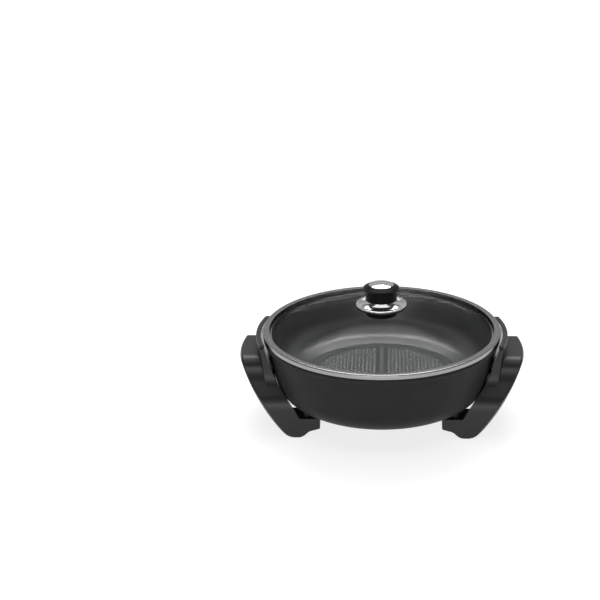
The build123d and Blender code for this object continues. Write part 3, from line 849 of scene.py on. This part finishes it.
def make_glass():
    """Domed glass with a flat edge and a hole for the knob's screw."""
    edge = LID_RADIUS - BAND_WALL - GLASS_GAP
    low = GLASS_EDGE_Z - GLASS_WALL
    reach = DOME_RADIUS - GLASS_HOLE_RADIUS
    radii = [GLASS_HOLE_RADIUS + reach * k / DOME_STEPS for k in range(DOME_STEPS + 1)]
    top = [(r, glass_z(r)) for r in radii]
    under = [(r, z - GLASS_WALL) for r, z in reversed(top)]
    flat_edge = [
        (DOME_RADIUS, GLASS_EDGE_Z, 0),
        (edge, GLASS_EDGE_Z, GLASS_EDGE_ROUND),
        (edge, low, GLASS_EDGE_ROUND),
        (DOME_RADIUS, low, 0),
    ]
    outline = [*top, *rounded(flat_edge, GLASS_EDGE_STEPS)[1:-1], *under]
    stand_for(lathe("glass", outline), "lid_glass", "lid", glass)


def make_gasket():
    """Gasket between the glass and the knob's skirt."""
    low = SKIRT_Z - GASKET_THICKNESS
    outline = [
        (GASKET_INNER_RADIUS, low, 0),
        (GASKET_RADIUS, low, GASKET_ROUND),
        (GASKET_RADIUS, SKIRT_Z, GASKET_ROUND),
        (GASKET_INNER_RADIUS, SKIRT_Z, 0),
    ]
    gasket = lathe("gasket", rounded(outline, GASKET_STEPS))
    stand_for(gasket, "knob_gasket", "lid", rubber)


def make_skirt():
    """Chrome skirt below the knob: a brim drawn in at its foot, and a hollow sweep up to the neck."""
    edge_z = SKIRT_Z + SKIRT_EDGE_HEIGHT
    under_z = SKIRT_TOP_Z - SKIRT_WALL
    shoulder = SKIRT_RADIUS - BRIM_ROUND
    inner = SKIRT_RADIUS - SKIRT_WALL
    brim = [
        (SKIRT_RADIUS, SKIRT_Z, BRIM_FOOT_ROUND),
        (SKIRT_RADIUS, edge_z, BRIM_ROUND),
        (shoulder, edge_z, 0),
    ]
    sweep = []
    for k in range(SKIRT_SWEEP_STEPS + 1):
        a = SKIRT_SWEEP * k / SKIRT_SWEEP_STEPS
        out_share = 1 - math.sin(a) / math.sin(SKIRT_SWEEP)
        up_share = (1 - math.cos(a)) / (1 - math.cos(SKIRT_SWEEP))
        r = SKIRT_TOP_RADIUS + (shoulder - SKIRT_TOP_RADIUS) * out_share
        sweep.append((r, edge_z + (SKIRT_TOP_Z - edge_z) * up_share))
    under = [
        (KNOB_HOLE_RADIUS, SKIRT_TOP_Z),
        (KNOB_HOLE_RADIUS, under_z),
        (SKIRT_UNDER_RADIUS, under_z),
        (inner, edge_z - SKIRT_WALL),
        (inner, SKIRT_Z),
    ]
    skirt = lathe("skirt", [*rounded(brim, BRIM_STEPS)[:-1], *sweep, *under])
    stand_for(skirt, "knob_skirt", "lid", chrome)


def make_grip():
    """Moulded grip: a round neck under a bevelled flange, with room for the cap and the bush."""
    bush = KNOB_HOLE_RADIUS + INSERT_WALL + CONTACT_GAP
    bush_top_z = SKIRT_TOP_Z + INSERT_LENGTH
    flange = NECK_RADIUS + FLANGE_OVERHANG
    recess = CAP_RADIUS + CAP_GAP
    outline = [
        (bush, SKIRT_TOP_Z, 0),
        (NECK_RADIUS, SKIRT_TOP_Z, NECK_FOOT_ROUND),
        (NECK_RADIUS, FLANGE_Z, GRIP_ROUND),
        (flange, FLANGE_EDGE_Z, GRIP_ROUND),
        (flange, FLANGE_EDGE_Z + FLANGE_EDGE, GRIP_ROUND),
        (recess + GRIP_LIP, GRIP_TOP_Z, GRIP_LIP_ROUND),
        (recess, GRIP_TOP_Z, 0),
        (recess, CAP_Z, 0),
        (0, CAP_Z, 0),
        (0, bush_top_z, 0),
        (bush, bush_top_z, 0),
    ]
    grip = lathe("grip", rounded(outline, GRIP_STEPS))
    stand_for(grip, "knob_grip", "lid", knob_black)


def make_cap():
    """Chrome cap with a shallow dome, let into the grip."""
    edge_z = CAP_Z + CAP_EDGE_HEIGHT
    radii = [CAP_RADIUS * k / CAP_STEPS for k in range(CAP_STEPS + 1)]
    dome = [(r, edge_z + dome_height(r, CAP_RADIUS, CAP_RISE)) for r in radii]
    cap = lathe("cap", [*dome, (CAP_RADIUS, CAP_Z), (0, CAP_Z)])
    stand_for(cap, "knob_cap", "lid", chrome)


def make_washer():
    """Thick washer under the glass, recessed for the screw's head."""
    high = glass_z(WASHER_RADIUS) - GLASS_WALL - CONTACT_GAP
    low = high - WASHER_HEIGHT
    recess = KNOB_SCREW_HEAD_RADIUS + SCREW_GAP
    outline = [
        (KNOB_HOLE_RADIUS, low + WASHER_RECESS, 0),
        (recess, low + WASHER_RECESS, 0),
        (recess, low, 0),
        (WASHER_RADIUS, low, WASHER_ROUND),
        (WASHER_RADIUS, high, 0),
        (KNOB_HOLE_RADIUS, high, 0),
    ]
    washer = lathe("washer", rounded(outline, WASHER_STEPS))
    stand_for(washer, "knob_washer", "lid", knob_black)


make_bowl()
make_shell()
make_floor_relief()
make_band()
make_glass()
make_gasket()
make_skirt()
make_grip()
make_cap()
make_washer()


# Camera, stage and light


def make_camera():
    """Camera at the photograph's angle, turned so that the pan lies off the centre."""
    data = bpy.data.cameras.new("camera")
    data.sensor_width = SENSOR_WIDTH_MM
    data.lens = SENSOR_WIDTH_MM * FOCAL_PX / PHOTO_PX
    data.clip_start = CLIP_START
    data.clip_end = CLIP_END
    cam = bpy.data.objects.new("camera", data)
    bpy.context.scene.collection.objects.link(cam)
    level = math.cos(ELEVATION)
    back = Vector((math.sin(AZIMUTH) * level, -math.cos(AZIMUTH) * level, math.sin(ELEVATION)))
    cam.location = TARGET + back * DISTANCE
    pitch = math.atan((TARGET_PX[1] - PHOTO_PX / 2) / FOCAL_PX)
    yaw = math.atan((TARGET_PX[0] - PHOTO_PX / 2) / FOCAL_PX * math.cos(pitch))
    aimed = (-back).to_track_quat("-Z", "Y")
    turn = Euler((0, yaw, 0)).to_quaternion()
    tilt = Euler((pitch, 0, 0)).to_quaternion()
    cam.rotation_mode = "QUATERNION"
    cam.rotation_quaternion = aimed @ turn @ tilt
    bpy.context.scene.camera = cam


def make_floor():
    """Pale floor that keeps a soft shadow and glows to the eye."""
    reach = STAGE_REACH
    corners = [(-reach, -reach, 0), (reach, -reach, 0), (reach, reach, 0), (-reach, reach, 0)]
    floor = mesh_object("floor", corners, [(0, 1, 2, 3)])
    mat, tree, shader = new_material("floor")
    shader.inputs["Base Color"].default_value = (0.45, 0.45, 0.45, 1)
    shader.inputs["Roughness"].default_value = 0.9
    shader.inputs["Specular IOR Level"].default_value = 0.1
    coord = tree.nodes.new("ShaderNodeTexCoord")
    away = calculated(tree, VECTOR_MATH, "LENGTH", coord.outputs["Object"])
    paler = spread(tree, away["Value"], NEAR_GLOW, FAR_GLOW, GLOW_START, GLOW_END)
    strength = calculated(tree, MATH, "MULTIPLY", seen_directly(tree), paler)
    glow = tree.nodes.new("ShaderNodeEmission")
    tree.links.new(strength["Value"], glow.inputs["Strength"])
    add = tree.nodes.new("ShaderNodeAddShader")
    tree.links.new(shader.outputs["BSDF"], add.inputs[0])
    tree.links.new(glow.outputs["Emission"], add.inputs[1])
    tree.links.new(add.outputs["Shader"], tree.nodes["Material Output"].inputs["Surface"])
    floor.data.materials.append(mat)


def make_world():
    """White surroundings to the eye under a dim ceiling, and an even soft light."""
    world = bpy.data.worlds.new("studio")
    bpy.context.scene.world = world
    world.use_nodes = True
    tree = world.node_tree
    shader = tree.nodes["Background"]
    shader.inputs["Color"].default_value = (1, 1, 1, 1)
    coord = tree.nodes.new("ShaderNodeTexCoord")
    split = tree.nodes.new("ShaderNodeSeparateXYZ")
    tree.links.new(coord.outputs["Generated"], split.inputs["Vector"])
    sky = ramp(tree, split.outputs["Z"], SKY_STOPS)
    strength = blended(tree, seen_directly(tree), EVEN_LIGHT, sky)
    tree.links.new(strength, shader.inputs["Strength"])


def area_light(name, place, size, power):
    """Soft rectangular lamp that is aimed at the pan."""
    data = bpy.data.lights.new(name, "AREA")
    data.shape = "RECTANGLE"
    data.size, data.size_y = size
    data.energy = power
    lamp = bpy.data.objects.new(name, data)
    lamp.location = place
    lamp.rotation_mode = "QUATERNION"
    lamp.rotation_quaternion = (LAMP_AIM - Vector(place)).to_track_quat("-Z", "Y")
    bpy.context.scene.collection.objects.link(lamp)


make_camera()
make_floor()
make_world()
area_light("top_box", place=(0, 0.96, 1.9), size=(1.6, 1.1), power=31)
area_light("front_top_box", place=(0, -0.35, 2.05), size=(2.2, 1.8), power=13)
area_light("front_box", place=(-0.2, -2.4, 0.4), size=(1.8, 0.5), power=12)

bpy.context.scene.view_settings.view_transform = "Standard"
